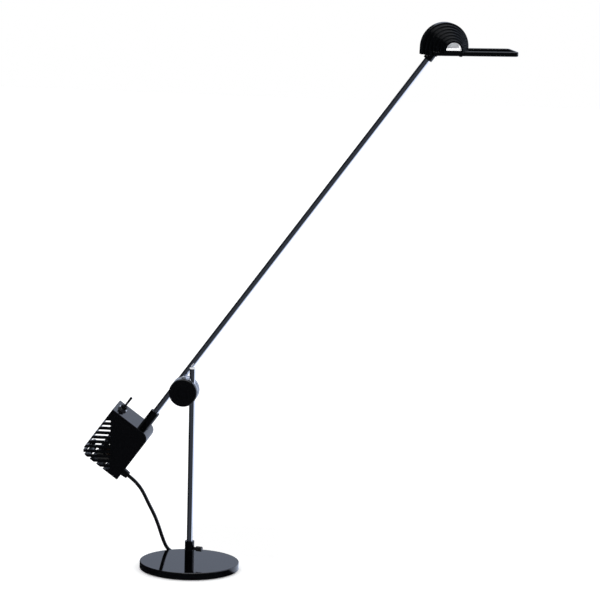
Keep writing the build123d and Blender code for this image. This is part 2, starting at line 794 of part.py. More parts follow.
# ================================================================ cord
gland_tip = on_arm(gland_s, box_low - gland_length, gland_shift)
cord_drop_points = [
    gland_tip,
    gland_tip - above * 13,
    Vector(-84.5, 11.0, 130.5),
    Vector(-74.5, 18.0, 106.0),
    Vector(-65.5, 26.5, 85.0),
    Vector(-59.5, 38.0, 63.0),
    Vector(-56.5, 50.0, 45.0),
    Vector(-54.0, 60.0, 32.0),
]
cord_run_points = [
    Vector(-54.0, 60.0, 32.0),
    Vector(-51.5, 70.0, 19.0),
    Vector(-44.5, 81.5, 7.6),
    Vector(-31.0, 92.5, 3.1),
    Vector(-12.0, 100.5, 3.1),
    Vector(8.0, 105.0, 3.1),
]


def corner_radii(points):
    """At each corner, the largest arc that leaves a tenth of the shorter run straight."""
    radii = []
    for before, corner, after in zip(points, points[1:], points[2:]):
        into, out = corner - before, after - corner
        half_turn = radians(into.get_angle(out)) / 2
        radii.append(0.45 * min(into.length, out.length) / tan(half_turn))
    return radii


def path_length(path):
    """Length of a whole path."""
    return sum(edge.length for edge in path.line.edges())


def cord_tube(points, name):
    """A round tube along straight runs joined by tangent arcs."""
    radii = corner_radii(points)
    with BuildPart() as tube:
        with BuildLine() as path:
            FilletPolyline(points, radius=radii)
        with BuildSketch(Plane(origin=path.line @ 0, z_dir=path.line % 0)):
            Circle(cord_radius)
        sweep()
    length = path_length(path)
    ratio = tube.part.volume / (pi * cord_radius**2 * length)
    print(name, "radii", [round(r, 1) for r in radii], "length", round(length, 1),
          "volume ratio", round(ratio, 4))
    save(tube, name)
    return length


# ---------------------------------------------------------------- coil
coil_outer = coil_inner + coil_pitch * coil_turns
layer_low = cord_radius
layer_high = cord_radius + coil_pitch
start_straight = 2 * cord_radius
tail_straight = 20.0      # carries the plug clear of the lower layer
coil_angle = 2 * pi * coil_turns
climb = pi


def coil_point(angle):
    """Centreline of the coil: in along the floor, up a layer in half a turn, and out on top."""
    if angle <= coil_angle:
        radius = coil_outer - coil_pitch * angle / (2 * pi)
        height = layer_low
    elif angle <= coil_angle + climb:
        share = (angle - coil_angle) / climb
        radius = coil_inner - coil_pitch / (2 * pi) * sin(pi * share)
        height = layer_low + (layer_high - layer_low) * (1 - cos(pi * share)) / 2
    else:
        radius = coil_inner + coil_pitch * (angle - coil_angle - climb) / (2 * pi)
        height = layer_high
    turned = angle - pi / 2
    return Vector(coil_centre[0] + radius * cos(turned), coil_centre[1] + radius * sin(turned), height)


def coil_heading(angle):
    """Unit tangent of the coil at an angle."""
    step = 1e-4
    return (coil_point(angle + step) - coil_point(angle - step)).normalized()


def biarc(start, start_dir, end, end_dir):
    """Two tangent arcs from start to end that keep both directions."""
    gap = end - start
    square = 2 * (start_dir.dot(end_dir) - 1)
    linear = -2 * gap.dot(start_dir + end_dir)
    constant = gap.dot(gap)
    reach = (-linear - sqrt(linear**2 - 4 * square * constant)) / (2 * square)
    joint = (start + start_dir * reach + end - end_dir * reach) * 0.5
    first = TangentArc(start, joint, tangent=start_dir)
    TangentArc(joint, end, tangent=first % 1)


quarter = pi / 2
coil_end_angle = 2 * coil_angle + climb - quarter
stations = int(round(coil_end_angle / quarter))
coil_start = coil_point(0)
first_dir = Vector(1, 0, 0)
coil_entry = coil_start - first_dir * start_straight
last_dir = coil_heading(coil_end_angle - 1e-3)
coil_exit = coil_point(coil_end_angle) + last_dir * tail_straight
with BuildPart() as cord_coil:
    with BuildLine() as coil_path:
        Line(coil_entry, coil_start)
        heading = first_dir
        for k in range(stations):
            low_angle, high_angle = k * quarter, (k + 1) * quarter
            next_heading = last_dir if k == stations - 1 else coil_heading(high_angle)
            biarc(coil_point(low_angle), heading, coil_point(high_angle), next_heading)
            heading = next_heading
        Line(coil_point(coil_end_angle), coil_exit)
    with BuildSketch(Plane(origin=coil_entry, z_dir=first_dir)):
        Circle(cord_radius)
    sweep()
save(cord_coil, "cord_coil")

coil_samples = [coil_point(coil_end_angle * k / 1500) for k in range(1501)]
least_gap = min(
    (coil_samples[i] - coil_samples[j]).length
    for i in range(0, 1501, 3)
    for j in range(i + 60, 1501, 3)
) - 2 * cord_radius
coil_length = path_length(coil_path)
coil_ratio = cord_coil.part.volume / (pi * cord_radius**2 * coil_length)
print("coil length", round(coil_length, 1), "least gap", round(least_gap, 2),
      "volume ratio", round(coil_ratio, 4))

drop_length = cord_tube(cord_drop_points, "cord_drop")
run_length = cord_tube(cord_run_points + [coil_entry], "cord_run")
print("cord length", round(drop_length + run_length + coil_length, 1))

# ---------------------------------------------------------------- plug
plug_thick = 2 * (layer_high - body_gap)


def plug_plane(distance):
    """A plane square to the plug's axis, a distance from the cord's end."""
    return Plane(origin=coil_exit + last_dir * distance, x_dir=(0, 0, 1), z_dir=last_dir)


with BuildPart() as plug_body:
    with BuildSketch(plug_plane(0)):
        Circle(plug_neck)
    with BuildSketch(plug_plane(plug_length * 0.35)):
        RectangleRounded(plug_neck * 2.4, plug_neck * 2.8, plug_round)
    with BuildSketch(plug_plane(plug_length * 0.6)):
        RectangleRounded(plug_thick, plug_width, plug_round)
    loft(ruled=True)
    with BuildSketch(plug_plane(plug_length * 0.6)):
        RectangleRounded(plug_thick, plug_width, plug_round)
    extrude(amount=plug_length * 0.4)
    with BuildSketch(plug_plane(plug_length)):
        with GridLocations(0, pin_spacing, 1, 2):
            Circle(pin_radius)
    extrude(amount=-plug_length / 3, mode=Mode.SUBTRACT)
save(plug_body, "plug_body")

with BuildPart() as plug_pins:
    with BuildSketch(plug_plane(plug_length * 2 / 3)):
        with GridLocations(0, pin_spacing, 1, 2):
            Circle(pin_radius)
    extrude(amount=plug_length / 3 + pin_length)
save(plug_pins, "plug_pins")

# ================================================================ head
tilt_centre = on_arm(arm_reach)
lean = radians(stud_lean)
yaw = radians(head_yaw)
stud_dir = Vector(sin(lean), 0, cos(lean))
level = Vector(cos(lean), 0, -sin(lean))
ahead = level * cos(yaw) + back * sin(yaw)
aside = ahead.cross(stud_dir)


def on_head(h, v=0.0, a=0.0):
    """The point h ahead of the swivel stud, v above the tilt pin and a towards the viewer."""
    return tilt_centre + ahead * h + stud_dir * v + aside * a


def head_side(a=0.0, h=0.0, v=0.0):
    """A plane facing along the hood's axis: x ahead, y up."""
    return Plane(origin=on_head(h, v, a), x_dir=ahead, z_dir=aside)


def head_level(v, h=0.0, a=0.0):
    """A level plane of the head: x ahead, y away from the viewer."""
    return Plane(origin=on_head(h, v, a), x_dir=ahead, z_dir=stud_dir)


with BuildPart() as upper_collar:
    with BuildSketch(arm_section(collar_top)):
        Circle(collar_radius)
    extrude(amount=fork_length)
    with BuildSketch(arm_side(-collar_radius, arm_reach)):
        Circle(fork_end)
    extrude(amount=-2 * collar_radius)
    with BuildSketch(arm_section(collar_top)):
        Circle(collar_radius)
    extrude(amount=fork_length + fork_end, mode=Mode.INTERSECT)
    with BuildSketch(arm_section(collar_top)):
        Circle(arm_radius + slip_fit)
    extrude(amount=fork_length * 3 / 4 - fork_end, mode=Mode.SUBTRACT)
    with BuildSketch(arm_side(-fork_slot / 2, arm_reach)):
        Circle(tongue_radius + body_gap)
        with Locations((fork_end - fork_relief / 2, 0)):
            Rectangle(2 * fork_end + fork_relief, 4 * fork_end)
    extrude(amount=-fork_slot, mode=Mode.SUBTRACT)
    with BuildSketch(arm_side(-collar_radius, arm_reach)):
        Circle(tilt_pin_radius + slip_fit)
    extrude(amount=-2 * collar_radius, mode=Mode.SUBTRACT)
save(upper_collar, "upper_collar")

pin_half = sqrt(collar_radius**2 - tilt_pin_radius**2) - slip_fit
with BuildPart() as tilt_pin:
    with BuildSketch(arm_side(-pin_half, arm_reach)):
        Circle(tilt_pin_radius)
    extrude(amount=-2 * pin_half)
save(tilt_pin, "tilt_pin")

tongue_half = fork_slot / 2 - face_gap
stud_plane = Plane(origin=tilt_centre, x_dir=level, z_dir=stud_dir)
bridge_low = shoulder_high + face_gap
nut_low = bridge_low + bridge_thick + face_gap
stud_top = nut_low + swivel_nut_thick
with BuildPart() as knuckle:
    with BuildSketch(arm_side(-tongue_half, arm_reach)):
        Circle(tongue_radius)
    extrude(amount=-2 * tongue_half)
    with BuildSketch(stud_plane):
        Rectangle(2 * tongue_radius, 2 * tongue_half)
    extrude(amount=shoulder_low)
    with BuildSketch(stud_plane.offset(shoulder_low)):
        Circle(shoulder_radius)
    extrude(amount=shoulder_high - shoulder_low)
    with BuildSketch(stud_plane.offset(shoulder_high)):
        Circle(stud_radius)
    extrude(amount=stud_top - shoulder_high)
    with BuildSketch(arm_side(-tongue_half, arm_reach)):
        Circle(tilt_pin_radius + running_fit)
    extrude(amount=-2 * tongue_half, mode=Mode.SUBTRACT)
save(knuckle, "knuckle")

with BuildPart() as swivel_nut:
    with BuildSketch(stud_plane.offset(nut_low)):
        RegularPolygon(swivel_nut_flats / 2, 6, major_radius=False)
        Circle(stud_radius + slip_fit, mode=Mode.SUBTRACT)
    extrude(amount=swivel_nut_thick)
save(swivel_nut, "swivel_nut")

# ---------------------------------------------------------------- frame and bridge
frame_low = -hood_skirt
frame_top = frame_low + bar_height
frame_outer = bar_spacing / 2 + bar_width / 2
frame_inner = bar_spacing / 2 - bar_width / 2
frame_rear = hood_ahead + handle_back
frame_length = handle_end - handle_back


def frame_screws():
    """Where the hood is screwed to the frame, as (ahead, aside) places."""
    return [
        (hood_ahead + end * head_boss_ahead, side * bar_spacing / 2)
        for end in (-1, 1)
        for side in (-1, 1)
    ]


with BuildPart() as handle_frame:
    with BuildSketch(head_level(frame_low, frame_rear)) as frame_plan:
        Rectangle(frame_length, 2 * frame_outer, align=(Align.MIN, Align.CENTER))
        fillet(frame_plan.vertices().group_by(Axis.X)[-1], handle_corner)
        with Locations((-handle_corner, 0)):
            RectangleRounded(
                frame_length - bar_width + handle_corner,
                2 * frame_inner,
                handle_corner - bar_width / 2,
                align=(Align.MIN, Align.CENTER),
                mode=Mode.SUBTRACT,
            )
    extrude(amount=bar_height)
    level_faces = handle_frame.faces().filter_by(Plane(tilt_centre, z_dir=stud_dir))
    fillet(level_faces.edges(), bar_round)
    with BuildSketch(head_level(frame_low)):
        with Locations(frame_screws()):
            Circle(head_screw_radius + screw_play)
        with GridLocations(0, bar_spacing, 1, 2):
            Circle(head_screw_radius + slip_fit)
    extrude(amount=bar_height, mode=Mode.SUBTRACT)
save(handle_frame, "handle_frame")

bridge_outer = bridge_inner + bridge_thick
foot_outer = frame_outer - bar_round
with BuildPart() as lamp_bridge:
    with BuildSketch(head_level(bridge_low)):
        Rectangle(bridge_width, 2 * bridge_outer)
        Circle(stud_radius + running_fit, mode=Mode.SUBTRACT)
    extrude(amount=bridge_thick)
    for side in (-1, 1):
        with BuildSketch(head_level(frame_top, 0, side * (bridge_inner + bridge_thick / 2))):
            Rectangle(bridge_width, bridge_thick)
        extrude(amount=bridge_low - frame_top)
        with BuildSketch(head_level(frame_top, 0, side * (bridge_inner + foot_outer) / 2)):
            Rectangle(bridge_width, foot_outer - bridge_inner)
        extrude(amount=bridge_thick)
        with BuildSketch(head_level(frame_top, 0, side * bar_spacing / 2)):
            Circle(head_screw_radius + screw_play)
        extrude(amount=bridge_thick, mode=Mode.SUBTRACT)
    with BuildSketch(head_side(bridge_inner)):
        with Locations((lamp_ahead / 2, lamp_high)):
            Rectangle(lamp_ahead + lamp_block_ahead, lamp_block_high)
    extrude(amount=bridge_thick)
save(lamp_bridge, "lamp_bridge")

with BuildPart() as bridge_screws:
    for side in (-1, 1):
        with BuildSketch(head_level(frame_top + bridge_thick, 0, side * bar_spacing / 2)):
            Circle(head_screw_radius)
        extrude(amount=-bridge_thick - bar_height / 2)
        with BuildSketch(head_level(frame_top + bridge_thick, 0, side * bar_spacing / 2)):
            Circle(head_screw_head - screw_play * 4)
        extrude(amount=head_screw_head_thick)
save(bridge_screws, "bridge_screws")

# ---------------------------------------------------------------- hood
step_width = (hood_half - hood_middle) / hood_steps
step_drop = (hood_radius - hood_nose) / hood_steps


def skirt(k):
    """How far step k reaches below the hood's axis: down beside the bars, or only onto them."""
    return hood_skirt if k <= hood_inner_steps else hood_skirt - bar_height


def hollow(k):
    """The depth of step k's hollow: open below, but leaving the walls beside the bars whole."""
    return skirt(k) + (hood_wall if k <= hood_inner_steps else 0)


def arch(radius, depth):
    """A half-round arch standing on straight sides of a given depth."""
    with BuildLine() as outline:
        CenterArc((0, 0), radius, 0, 180)
        Polyline((-radius, 0), (-radius, -depth), (radius, -depth), (radius, 0))
    return outline


with BuildPart() as hood:
    for k in range(hood_steps + 1):
        with BuildSketch(head_side(0, hood_ahead)):
            add(arch(hood_radius - step_drop * k, skirt(k)))
            make_face()
        extrude(amount=hood_middle + step_width * k, both=True)
    rib_edges = [
        edge
        for edge in hood.edges().filter_by(GeomType.CIRCLE)
        if (edge.arc_center - on_head(hood_ahead)).length < hood_half + hood_wall
    ]
    fillet(rib_edges, rib_round)
    for k in range(hood_steps + 1):
        with BuildSketch(head_side(0, hood_ahead)):
            add(arch(hood_radius - step_drop * k - hood_wall, hollow(k)))
            make_face()
        extrude(amount=hood_middle + step_width * k - hood_wall, both=True, mode=Mode.SUBTRACT)
    with BuildSketch(head_level(frame_top)):
        with Locations(frame_screws()):
            Circle(head_boss_radius)
    extrude(amount=head_boss_height)
    with BuildSketch(head_side(0, hood_ahead)):
        add(arch(window_radius, slip_fit))
        make_face()
    extrude(amount=hood_half + hood_wall, both=True, mode=Mode.SUBTRACT)
    with BuildSketch(head_level(frame_top)):
        with Locations(frame_screws()):
            Circle(head_screw_radius + slip_fit)
    extrude(amount=head_boss_depth, mode=Mode.SUBTRACT)
save(hood, "hood")

with BuildPart() as hood_screws:
    with BuildSketch(head_level(frame_low)):
        with Locations(frame_screws()):
            Circle(head_screw_radius)
    extrude(amount=bar_height + head_boss_depth - screw_play)
    with BuildSketch(head_level(frame_low)):
        with Locations(frame_screws()):
            Circle(head_screw_head - screw_play * 2)
    extrude(amount=-head_screw_head_thick)
save(hood_screws, "hood_screws")

reflector_radius = hood_radius - step_drop * reflector_step - hood_wall - slip_fit
reflector_half = hood_middle + step_width * reflector_step - hood_wall - slip_fit
with BuildPart() as reflector:
    with BuildSketch(head_side(0, hood_ahead)):
        with BuildLine():
            sweep_angle = 180 - 2 * reflector_low
            outer_arc = CenterArc((0, 0), reflector_radius, reflector_low, sweep_angle)
            inner_arc = CenterArc((0, 0), reflector_radius - reflector_wall, reflector_low, sweep_angle)
            Line(outer_arc @ 0, inner_arc @ 0)
            Line(outer_arc @ 1, inner_arc @ 1)
        make_face()
    extrude(amount=reflector_half, both=True)
save(reflector, "reflector")

# ---------------------------------------------------------------- lamp
block_face = bridge_inner - lamp_block
with BuildPart() as lamp_holder:
    with BuildSketch(head_side(block_face, lamp_ahead, lamp_high)):
        RectangleRounded(lamp_block_ahead, lamp_block_high, bar_round)
        with GridLocations(bulb_radius, 0, 2, 1):
            Circle(lamp_pin_radius + slip_fit, mode=Mode.SUBTRACT)
    extrude(amount=lamp_block)
save(lamp_holder, "lamp_holder")

bulb_base = bulb_wall * 4
with BuildPart() as bulb:
    with BuildSketch(head_side(block_face, lamp_ahead, lamp_high)):
        Rectangle(2 * bulb_radius - bulb_wall, bulb_base)
    extrude(amount=-bulb_base)
    with BuildSketch(head_side(block_face - bulb_base, lamp_ahead, lamp_high)):
        Circle(bulb_radius)
    extrude(amount=bulb_base - bulb_length)
    fillet(bulb.edges().filter_by(GeomType.CIRCLE).sort_by(Axis.Y)[-1], bulb_radius * 0.4)
    with BuildSketch(head_side(block_face - bulb_base - bulb_wall, lamp_ahead, lamp_high)):
        Circle(bulb_radius - bulb_wall)
    extrude(amount=bulb_base + 2 * bulb_wall - bulb_length, mode=Mode.SUBTRACT)
save(bulb, "bulb")

with BuildPart() as bulb_pins:
    with BuildSketch(head_side(block_face, lamp_ahead, lamp_high)):
        with GridLocations(bulb_radius, 0, 2, 1):
            Circle(lamp_pin_radius)
    extrude(amount=lamp_pin_length)
save(bulb_pins, "bulb_pins")

head_pieces = (hood, handle_frame, lamp_bridge, reflector, bulb, upper_collar, box_shell, box_cover)
for piece in head_pieces:
    print(piece.part.label, "solids", len(piece.part.solids()), "volume", round(piece.part.volume))
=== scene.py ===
"""Looks, cord and stage of the counterweight balance desk lamp. Metres, in the CAD's frame."""

from math import cos, pi, radians, sin

import bpy
import numpy as np
from mathutils import Matrix, Vector


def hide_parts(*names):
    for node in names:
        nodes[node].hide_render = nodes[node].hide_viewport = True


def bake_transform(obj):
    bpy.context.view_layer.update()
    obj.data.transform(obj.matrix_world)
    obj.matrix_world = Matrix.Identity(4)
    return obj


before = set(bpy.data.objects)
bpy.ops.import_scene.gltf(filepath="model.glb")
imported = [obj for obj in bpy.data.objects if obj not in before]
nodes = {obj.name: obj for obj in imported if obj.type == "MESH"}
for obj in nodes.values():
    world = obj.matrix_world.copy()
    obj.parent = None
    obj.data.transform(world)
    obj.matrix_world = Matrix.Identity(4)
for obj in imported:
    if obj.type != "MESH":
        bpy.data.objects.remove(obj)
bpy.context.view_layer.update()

# ---------------------------------------------------------------- base
# A heavy disc under gloss black lacquer, with a lacquered socket screwed to it from below.
# It stands on a ring of rubber, and a thumb screw of dull black holds the stem in the socket.


def surface_group():
    """Fine unevenness on object coordinates: it varies the roughness and gives a small bump."""
    group = bpy.data.node_groups.new("fine_surface", "ShaderNodeTree")
    face = group.interface
    for name, kind, way in (("Roughness", "NodeSocketFloat", "INPUT"),
                            ("Spread", "NodeSocketFloat", "INPUT"),
                            ("Scale", "NodeSocketFloat", "INPUT"),
                            ("Depth", "NodeSocketFloat", "INPUT"),
                            ("Roughness", "NodeSocketFloat", "OUTPUT"),
                            ("Normal", "NodeSocketVector", "OUTPUT")):
        face.new_socket(name=name, in_out=way, socket_type=kind)
    n, link = group.nodes, group.links.new
    inside, outside = n.new("NodeGroupInput"), n.new("NodeGroupOutput")
    coords, noise = n.new("ShaderNodeTexCoord"), n.new("ShaderNodeTexNoise")
    noise.inputs["Detail"].default_value = 4.0
    link(coords.outputs["Object"], noise.inputs["Vector"])
    link(inside.outputs["Scale"], noise.inputs["Scale"])
    centred, scaled, added = n.new("ShaderNodeMath"), n.new("ShaderNodeMath"), n.new("ShaderNodeMath")
    centred.operation, scaled.operation, added.operation = "SUBTRACT", "MULTIPLY", "ADD"
    centred.inputs[1].default_value = 0.5
    link(noise.outputs["Fac"], centred.inputs[0])
    link(centred.outputs[0], scaled.inputs[0])
    link(inside.outputs["Spread"], scaled.inputs[1])
    link(scaled.outputs[0], added.inputs[0])
    link(inside.outputs["Roughness"], added.inputs[1])
    bump = n.new("ShaderNodeBump")
    bump.inputs["Distance"].default_value = 0.0002
    link(noise.outputs["Fac"], bump.inputs["Height"])
    link(inside.outputs["Depth"], bump.inputs["Strength"])
    link(added.outputs[0], outside.inputs["Roughness"])
    link(bump.outputs["Normal"], outside.inputs["Normal"])
    return group


fine_surface = surface_group()


def material(name, color, rough, metal=0.0, spread=0.06, scale=180.0, depth=0.02, ior=1.5):
    """A finish: a principled surface whose roughness and normal come from the fine surface."""
    made = bpy.data.materials.new(name)
    made.use_nodes = True
    n, link = made.node_tree.nodes, made.node_tree.links.new
    shader = n["Principled BSDF"]
    shader.inputs["Base Color"].default_value = (*color, 1.0)
    shader.inputs["Metallic"].default_value = metal
    shader.inputs["IOR"].default_value = ior
    effect = n.new("ShaderNodeGroup")
    effect.node_tree = fine_surface
    effect.inputs["Roughness"].default_value = rough
    effect.inputs["Spread"].default_value = spread
    effect.inputs["Scale"].default_value = scale
    effect.inputs["Depth"].default_value = depth
    link(effect.outputs["Roughness"], shader.inputs["Roughness"])
    link(effect.outputs["Normal"], shader.inputs["Normal"])
    return made


def wear(finish, *pieces):
    """Gives the named CAD nodes one finish."""
    for piece in pieces:
        mesh = nodes[piece].data
        mesh.materials.clear()
        mesh.materials.append(finish)


lacquer = material("gloss_black", (0.0008, 0.0008, 0.001), 0.06, spread=0.03)
zinc = material("zinc", (0.60, 0.61, 0.63), 0.3, metal=1.0)
wear(lacquer, "base_disc", "stem_socket")
wear(material("pad_rubber", (0.02, 0.02, 0.02), 0.8, scale=900.0, depth=0.3), "base_pad")
wear(zinc, "base_screw")
wear(material("thumb_black", (0.004, 0.004, 0.004), 0.35), "thumb_screw")

# ---------------------------------------------------------------- stem
# A bright chromed tube that turns in the socket, closed by a pale plastic plug.
chrome = material("chrome", (0.80, 0.81, 0.84), 0.05, metal=1.0, spread=0.03, depth=0.004)
wear(chrome, "stem")
wear(material("cap_pale", (0.80, 0.81, 0.85), 0.2), "stem_cap")

# ---------------------------------------------------------------- hub
# Two polished halves with a fibre washer between, on a zinc-plated bolt with disc springs.
# The tension knob on the near side is black, with a glossy cap over its brass insert.
polished_grey = material("polished_grey", (0.55, 0.57, 0.62), 0.16, metal=1.0)
wear(polished_grey, "stem_clamp", "arm_clamp")
wear(material("fibre", (0.20, 0.05, 0.03), 0.7, scale=700.0), "friction_washer")
wear(zinc, "clamp_screw", "pivot_bolt", "disc_springs", "lock_nut")
wear(material("knob_black", (0.0008, 0.0008, 0.001), 0.2), "tension_knob")
wear(material("gloss_cap", (0.001, 0.001, 0.0012), 0.08), "knob_cap", "pivot_cap")
wear(material("brass", (0.70, 0.52, 0.25), 0.25, metal=1.0), "knob_insert")

# ---------------------------------------------------------------- arm
# A chromed tube with a gloss black collar at each end, and the lead that runs through it.
# The lower collar is held in the box by a nut; the upper one is a fork with a zinc-plated pin.
wear(chrome, "arm_tube")
wear(lacquer, "lower_collar", "upper_collar")
wear(zinc, "collar_nut", "tilt_pin")
wear(material("lead_black", (0.03, 0.03, 0.03), 0.6), "arm_lead")

# ---------------------------------------------------------------- box
# A vented box of black painted sheet with a screwed cover. Through its slots show the
# transformer's laminations and winding, and the block where the cord's wires end.
screw_black = material("screw_black", (0.05, 0.05, 0.055), 0.3, metal=1.0)
wear(material("box_paint", (0.0008, 0.0008, 0.001), 0.12, spread=0.05, scale=300.0),
     "box_shell", "box_cover")
wear(screw_black, "cover_screws")
wear(material("laminations", (0.09, 0.09, 0.10), 0.5, metal=0.8, scale=1200.0, depth=0.2),
     "transformer_core")
wear(material("bobbin", (0.05, 0.05, 0.05), 0.6), "transformer_bobbin")
wear(material("winding", (0.05, 0.025, 0.015), 0.5, metal=0.5, scale=1500.0, depth=0.3),
     "transformer_winding")
wear(zinc, "transformer_strap", "strap_screws")
wear(material("terminal", (0.03, 0.03, 0.03), 0.5), "terminal_block")

# ---------------------------------------------------------------- switch and gland
# A black toggle switch in a bright nut on the box's end, and a black plastic gland with its nut.
plastic = material("black_plastic", (0.003, 0.003, 0.0035), 0.25)
wear(plastic, "switch_housing", "switch_lever", "cord_gland", "gland_nut")
wear(material("bright_nut", (0.90, 0.90, 0.92), 0.12, metal=1.0), "switch_nut")

# ---------------------------------------------------------------- cord and plug
# One length of smooth black vinyl cord: out of the gland, down behind the base and into a flat
# coil of two layers, with a two-pin plug on its end.
cord_radius = 0.0031
arm_angle = radians(54.2)
above = Vector((-sin(arm_angle), 0.0, cos(arm_angle)))
along = Vector((cos(arm_angle), 0.0, sin(arm_angle)))
hub = Vector((-0.014, 0.0, 0.306))
arm_above_hub, arm_behind_hub = 0.0168, 0.0139
arm_foot = hub + above * arm_above_hub + Vector((0.0, arm_behind_hub, 0.0))
gland_down_arm, gland_below_arm, gland_forward = 0.1785, 0.0291, 0.0039
gland_tip = arm_foot - along * gland_down_arm - above * gland_below_arm - Vector((0.0, gland_forward, 0.0))
straight_out = 0.013
route = [
    (-0.0845, 0.0110, 0.1305),
    (-0.0745, 0.0180, 0.1060),
    (-0.0655, 0.0265, 0.0850),
    (-0.0595, 0.0380, 0.0630),
    (-0.0565, 0.0500, 0.0450),
    (-0.0515, 0.0700, 0.0190),
    (-0.0445, 0.0815, 0.0076),
    (-0.0310, 0.0925, 0.0031),
    (-0.0120, 0.1005, 0.0031),
    (0.0080, 0.1050, 0.0031),
]
points = [gland_tip, gland_tip - above * straight_out] + [Vector(p) for p in route]

coil_centre = (0.044, 0.151)
coil_inner, coil_pitch, coil_turns = 0.027, 0.0068, 3
steps_a_turn = 16
turn_in = 2 * pi * coil_turns
turn_end = 2 * turn_in + pi / 2
for k in range(int(turn_end / (2 * pi) * steps_a_turn) + 1):
    angle = 2 * pi * k / steps_a_turn
    if angle <= turn_in:
        radius = coil_inner + coil_pitch * (turn_in - angle) / (2 * pi)
        height = cord_radius
    elif angle <= turn_in + pi:
        share = (angle - turn_in) / pi
        radius = coil_inner - coil_pitch / (2 * pi) * sin(pi * share)
        height = cord_radius + coil_pitch * (1 - cos(pi * share)) / 2
    else:
        radius = coil_inner + coil_pitch * (angle - turn_in - pi) / (2 * pi)
        height = cord_radius + coil_pitch
    turned = angle - pi / 2
    outer = radius / cos(pi / steps_a_turn) ** 0.5
    points.append(Vector((coil_centre[0] + outer * cos(turned),
                          coil_centre[1] + outer * sin(turned), height)))
tail_straight = 0.020
points.append(Vector((coil_centre[0] + coil_inner + coil_pitch * (coil_turns - 0.25),
                      coil_centre[1] + tail_straight, cord_radius + coil_pitch)))

line = bpy.data.curves.new("cord_line", "CURVE")
line.dimensions = "3D"
line.resolution_u = 10
spline = line.splines.new("NURBS")
spline.points.add(len(points) - 1)
for spot, point in zip(spline.points, points):
    spot.co = (*point, 1.0)
spline.order_u = 3
spline.use_endpoint_u = True
line_object = bpy.data.objects.new("cord_line", line)
bpy.context.scene.collection.objects.link(line_object)
bpy.context.view_layer.update()
line_mesh = bpy.data.meshes.new_from_object(line_object)
path = np.array([v.co for v in line_mesh.vertices])
bpy.data.objects.remove(line_object)


def tube(name, centre, radius, sides=14):
    """A closed round tube: rings of radius times cos and sin across a centreline, never twisted."""
    tangents = np.gradient(centre, axis=0)
    tangents /= np.linalg.norm(tangents, axis=1)[:, None]
    side = np.cross(tangents[0], (0.0, 1.0, 0.0))
    side /= np.linalg.norm(side)
    angles = np.linspace(0, 2 * pi, sides, endpoint=False)
    rings = []
    for spot, tangent in zip(centre, tangents):
        side = side - tangent * np.dot(side, tangent)
        side /= np.linalg.norm(side)
        other = np.cross(tangent, side)
        rings.append(spot + radius * (np.outer(np.cos(angles), side) + np.outer(np.sin(angles), other)))
    count = len(centre)
    near, step = np.meshgrid(np.arange(sides), np.arange(count - 1) * sides)
    after = (near + 1) % sides
    quads = np.stack([step + near, step + after, step + sides + after, step + sides + near], axis=-1)
    faces = quads.reshape(-1, 4).tolist()
    faces.append(list(range(sides))[::-1])
    faces.append([(count - 1) * sides + j for j in range(sides)])
    mesh = bpy.data.meshes.new(name)
    mesh.from_pydata(np.concatenate(rings).tolist(), [], faces)
    mesh.polygons.foreach_set("use_smooth", [len(f) == 4 for f in faces])
    obj = bpy.data.objects.new(name, mesh)
    bpy.context.scene.collection.objects.link(obj)
    return obj


cord = tube("mains_cord", path, cord_radius)
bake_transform(cord)
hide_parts("cord_drop", "cord_run", "cord_coil")
vinyl = material("vinyl", (0.004, 0.004, 0.005), 0.28, scale=400.0)
pin_brass = material("pins", (0.80, 0.70, 0.45), 0.15, metal=1.0)
cord.data.materials.append(vinyl)
wear(vinyl, "cord_drop", "cord_run", "cord_coil", "plug_body")
wear(pin_brass, "plug_pins")

# ---------------------------------------------------------------- head
# A stepped hood of gloss black over a black frame whose end is the handle. The hood's faces that look
# towards its own axis are white, with a painted glow that stands in for the lamp's light inside the hood.
hood_paint = material("hood_paint", (0.0008, 0.0010, 0.0012), 0.10, spread=0.04, ior=1.6)
hood_centre = (0.40606, 0.01906, 0.90147)
n, link = hood_paint.node_tree.nodes, hood_paint.node_tree.links.new
spot, from_centre = n.new("ShaderNodeTexCoord"), n.new("ShaderNodeVectorMath")
facing, inward = n.new("ShaderNodeVectorMath"), n.new("ShaderNodeMath")
from_centre.operation, facing.operation, inward.operation = "SUBTRACT", "DOT_PRODUCT", "LESS_THAN"
from_centre.inputs[1].default_value = hood_centre
inward.inputs[1].default_value = 0.0
link(spot.outputs["Object"], from_centre.inputs[0])
link(from_centre.outputs[0], facing.inputs[0])
link(spot.outputs["Normal"], facing.inputs[1])
link(facing.outputs["Value"], inward.inputs[0])
white_with_painted_glow, lining = n.new("ShaderNodeBsdfPrincipled"), n.new("ShaderNodeMixShader")
white_with_painted_glow.inputs["Base Color"].default_value = (0.92, 0.92, 0.93, 1.0)
white_with_painted_glow.inputs["Roughness"].default_value = 0.35
# Painted glow: the white inner faces emit a little light of their own, though they are no lamp.
white_with_painted_glow.inputs["Emission Color"].default_value = (1.0, 1.0, 1.0, 1.0)
white_with_painted_glow.inputs["Emission Strength"].default_value = 0.35
link(inward.outputs[0], lining.inputs[0])
link(n["Principled BSDF"].outputs[0], lining.inputs[1])
link(white_with_painted_glow.outputs[0], lining.inputs[2])
link(lining.outputs[0], n["Material Output"].inputs["Surface"])
wear(hood_paint, "hood")
wear(material("frame_black", (0.001, 0.001, 0.0012), 0.12), "handle_frame")
wear(screw_black, "bridge_screws", "hood_screws")
wear(material("knuckle_black", (0.002, 0.002, 0.0022), 0.2), "knuckle")
wear(zinc, "swivel_nut")
wear(material("bridge_steel", (0.50, 0.51, 0.53), 0.3, metal=1.0), "lamp_bridge")

